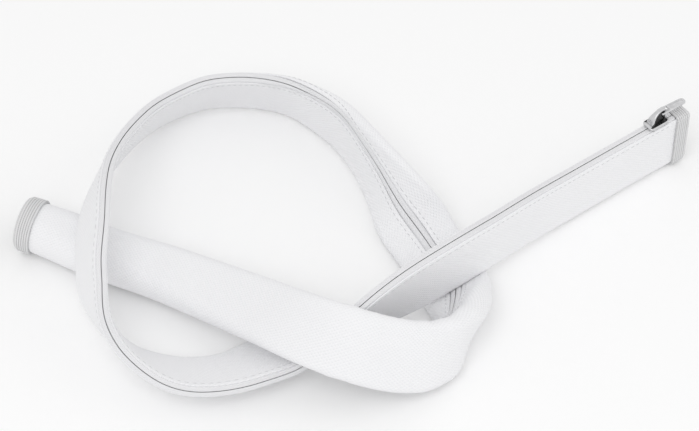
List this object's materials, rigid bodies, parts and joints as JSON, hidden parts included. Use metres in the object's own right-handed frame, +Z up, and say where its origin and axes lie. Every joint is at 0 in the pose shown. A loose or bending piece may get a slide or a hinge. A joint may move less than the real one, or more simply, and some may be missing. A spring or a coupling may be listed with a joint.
{
  "type": "zip-up woven cable sleeve",
  "caption": "Soft white woven tube closed by a zip along its length, with ribbed end bindings and a metal slider, tied in one loose overhand knot.",
  "frame": {"origin": "middle of the knot's outline on the surface it lies on", "axes": "+Z up; +X along the straight run to the end with the slider; the knot's long way is along X"},
  "size_m": [0.3074, 0.222, 0.0563],
  "materials": {
    "woven_fabric": "matt fine weave",
    "zip_tape": "matt woven",
    "zip_coil": "satin nylon",
    "end_binding": "matt ribbed",
    "slider_metal": "bright nickel"
  },
  "bodies": {
    "sleeve": {"sleeve_fabric": "woven_fabric", "zip_tape_left": "zip_tape", "zip_tape_right": "zip_tape", "zip_coil_left": "zip_coil", "zip_coil_right": "zip_coil", "end_binding_left": "end_binding", "end_binding_right": "end_binding"},
    "slider": {"slider_body": "slider_metal"},
    "tab": {"pull_tab": "slider_metal"}
  },
  "joints": [
    {"name": "slider_slide", "type": "slide", "parent": "sleeve", "child": "slider", "axis": [-1, 0, 0], "range_m": [0, 0.044]},
    {"name": "pull_tab_swing", "type": "hinge", "parent": "slider", "child": "tab", "pos_m": [0.13774, -0.06149, 0.04172], "axis": [0, -1, 0], "range_deg": [0, 150]}
  ]
}
